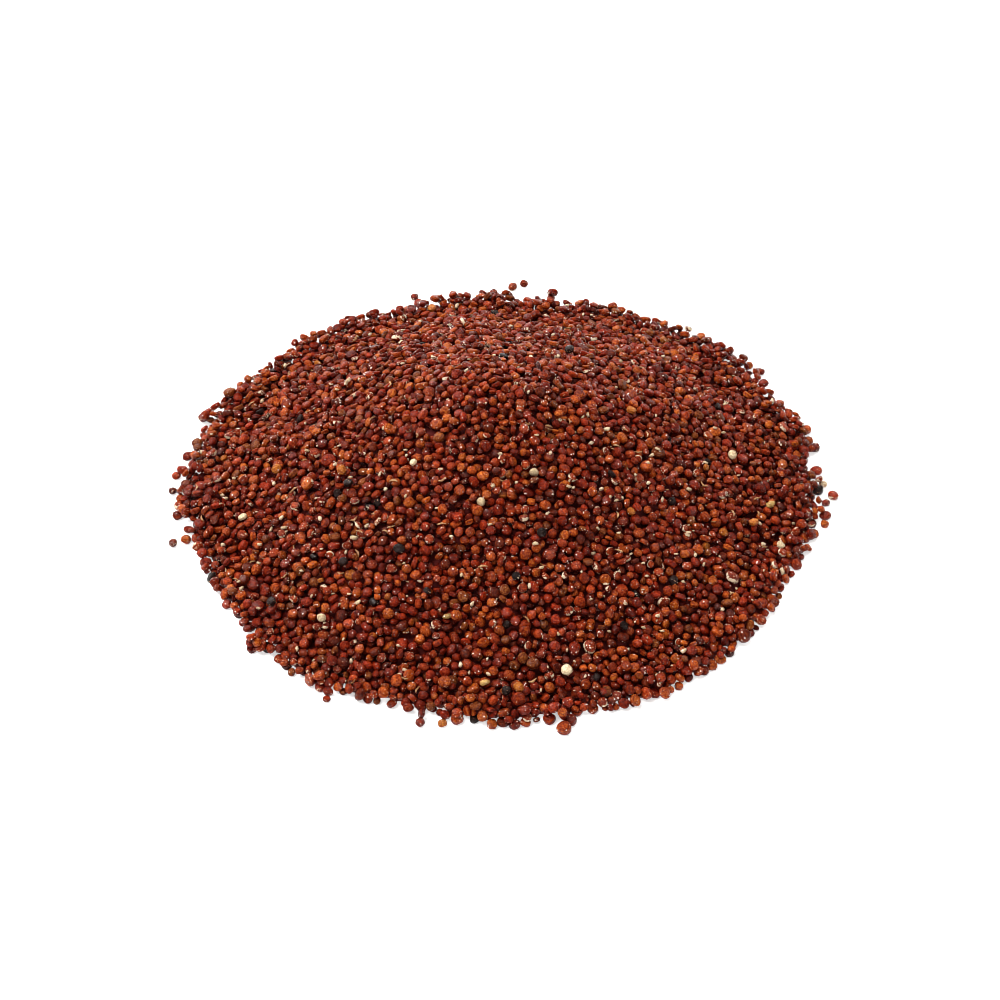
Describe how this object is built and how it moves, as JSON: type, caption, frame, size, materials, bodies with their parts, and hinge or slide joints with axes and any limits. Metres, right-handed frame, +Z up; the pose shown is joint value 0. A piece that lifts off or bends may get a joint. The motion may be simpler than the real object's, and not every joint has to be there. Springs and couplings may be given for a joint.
{
  "type": "heap of red quinoa",
  "caption": "Loose round heap of dry red quinoa grains poured out on a flat surface, with a few grains rolled clear of its foot.",
  "frame": {"origin": "middle of the heap's footprint, on the flat surface that it lies on", "axes": "+Z straight up through the crown of the heap; the heap is round, so +X and +Y are free: +Y points away from the viewer and +X to the viewer's right"},
  "size_m": [0.128, 0.1253, 0.0262],
  "materials": {
    "red_grain": "dry brick-red seed coat, satin",
    "dark_grain": "dry near-black seed coat, satin",
    "amber_grain": "dry amber seed coat, satin",
    "pale_grain": "dry cream hulled grain, matt"
  },
  "bodies": {
    "root": {"quinoa_heap": "red_grain", "stray_grain_01": "red_grain", "stray_grain_02": "red_grain", "stray_grain_03": "pale_grain", "stray_grain_04": "red_grain", "stray_grain_05": "red_grain", "stray_grain_06": "red_grain", "stray_grain_07": "red_grain", "stray_grain_08": "red_grain", "stray_grain_09": "red_grain", "stray_grain_10": "red_grain", "stray_grain_11": "red_grain", "stray_grain_12": "red_grain", "stray_grain_13": "red_grain", "stray_grain_14": "red_grain"}
  },
  "joints": []
}
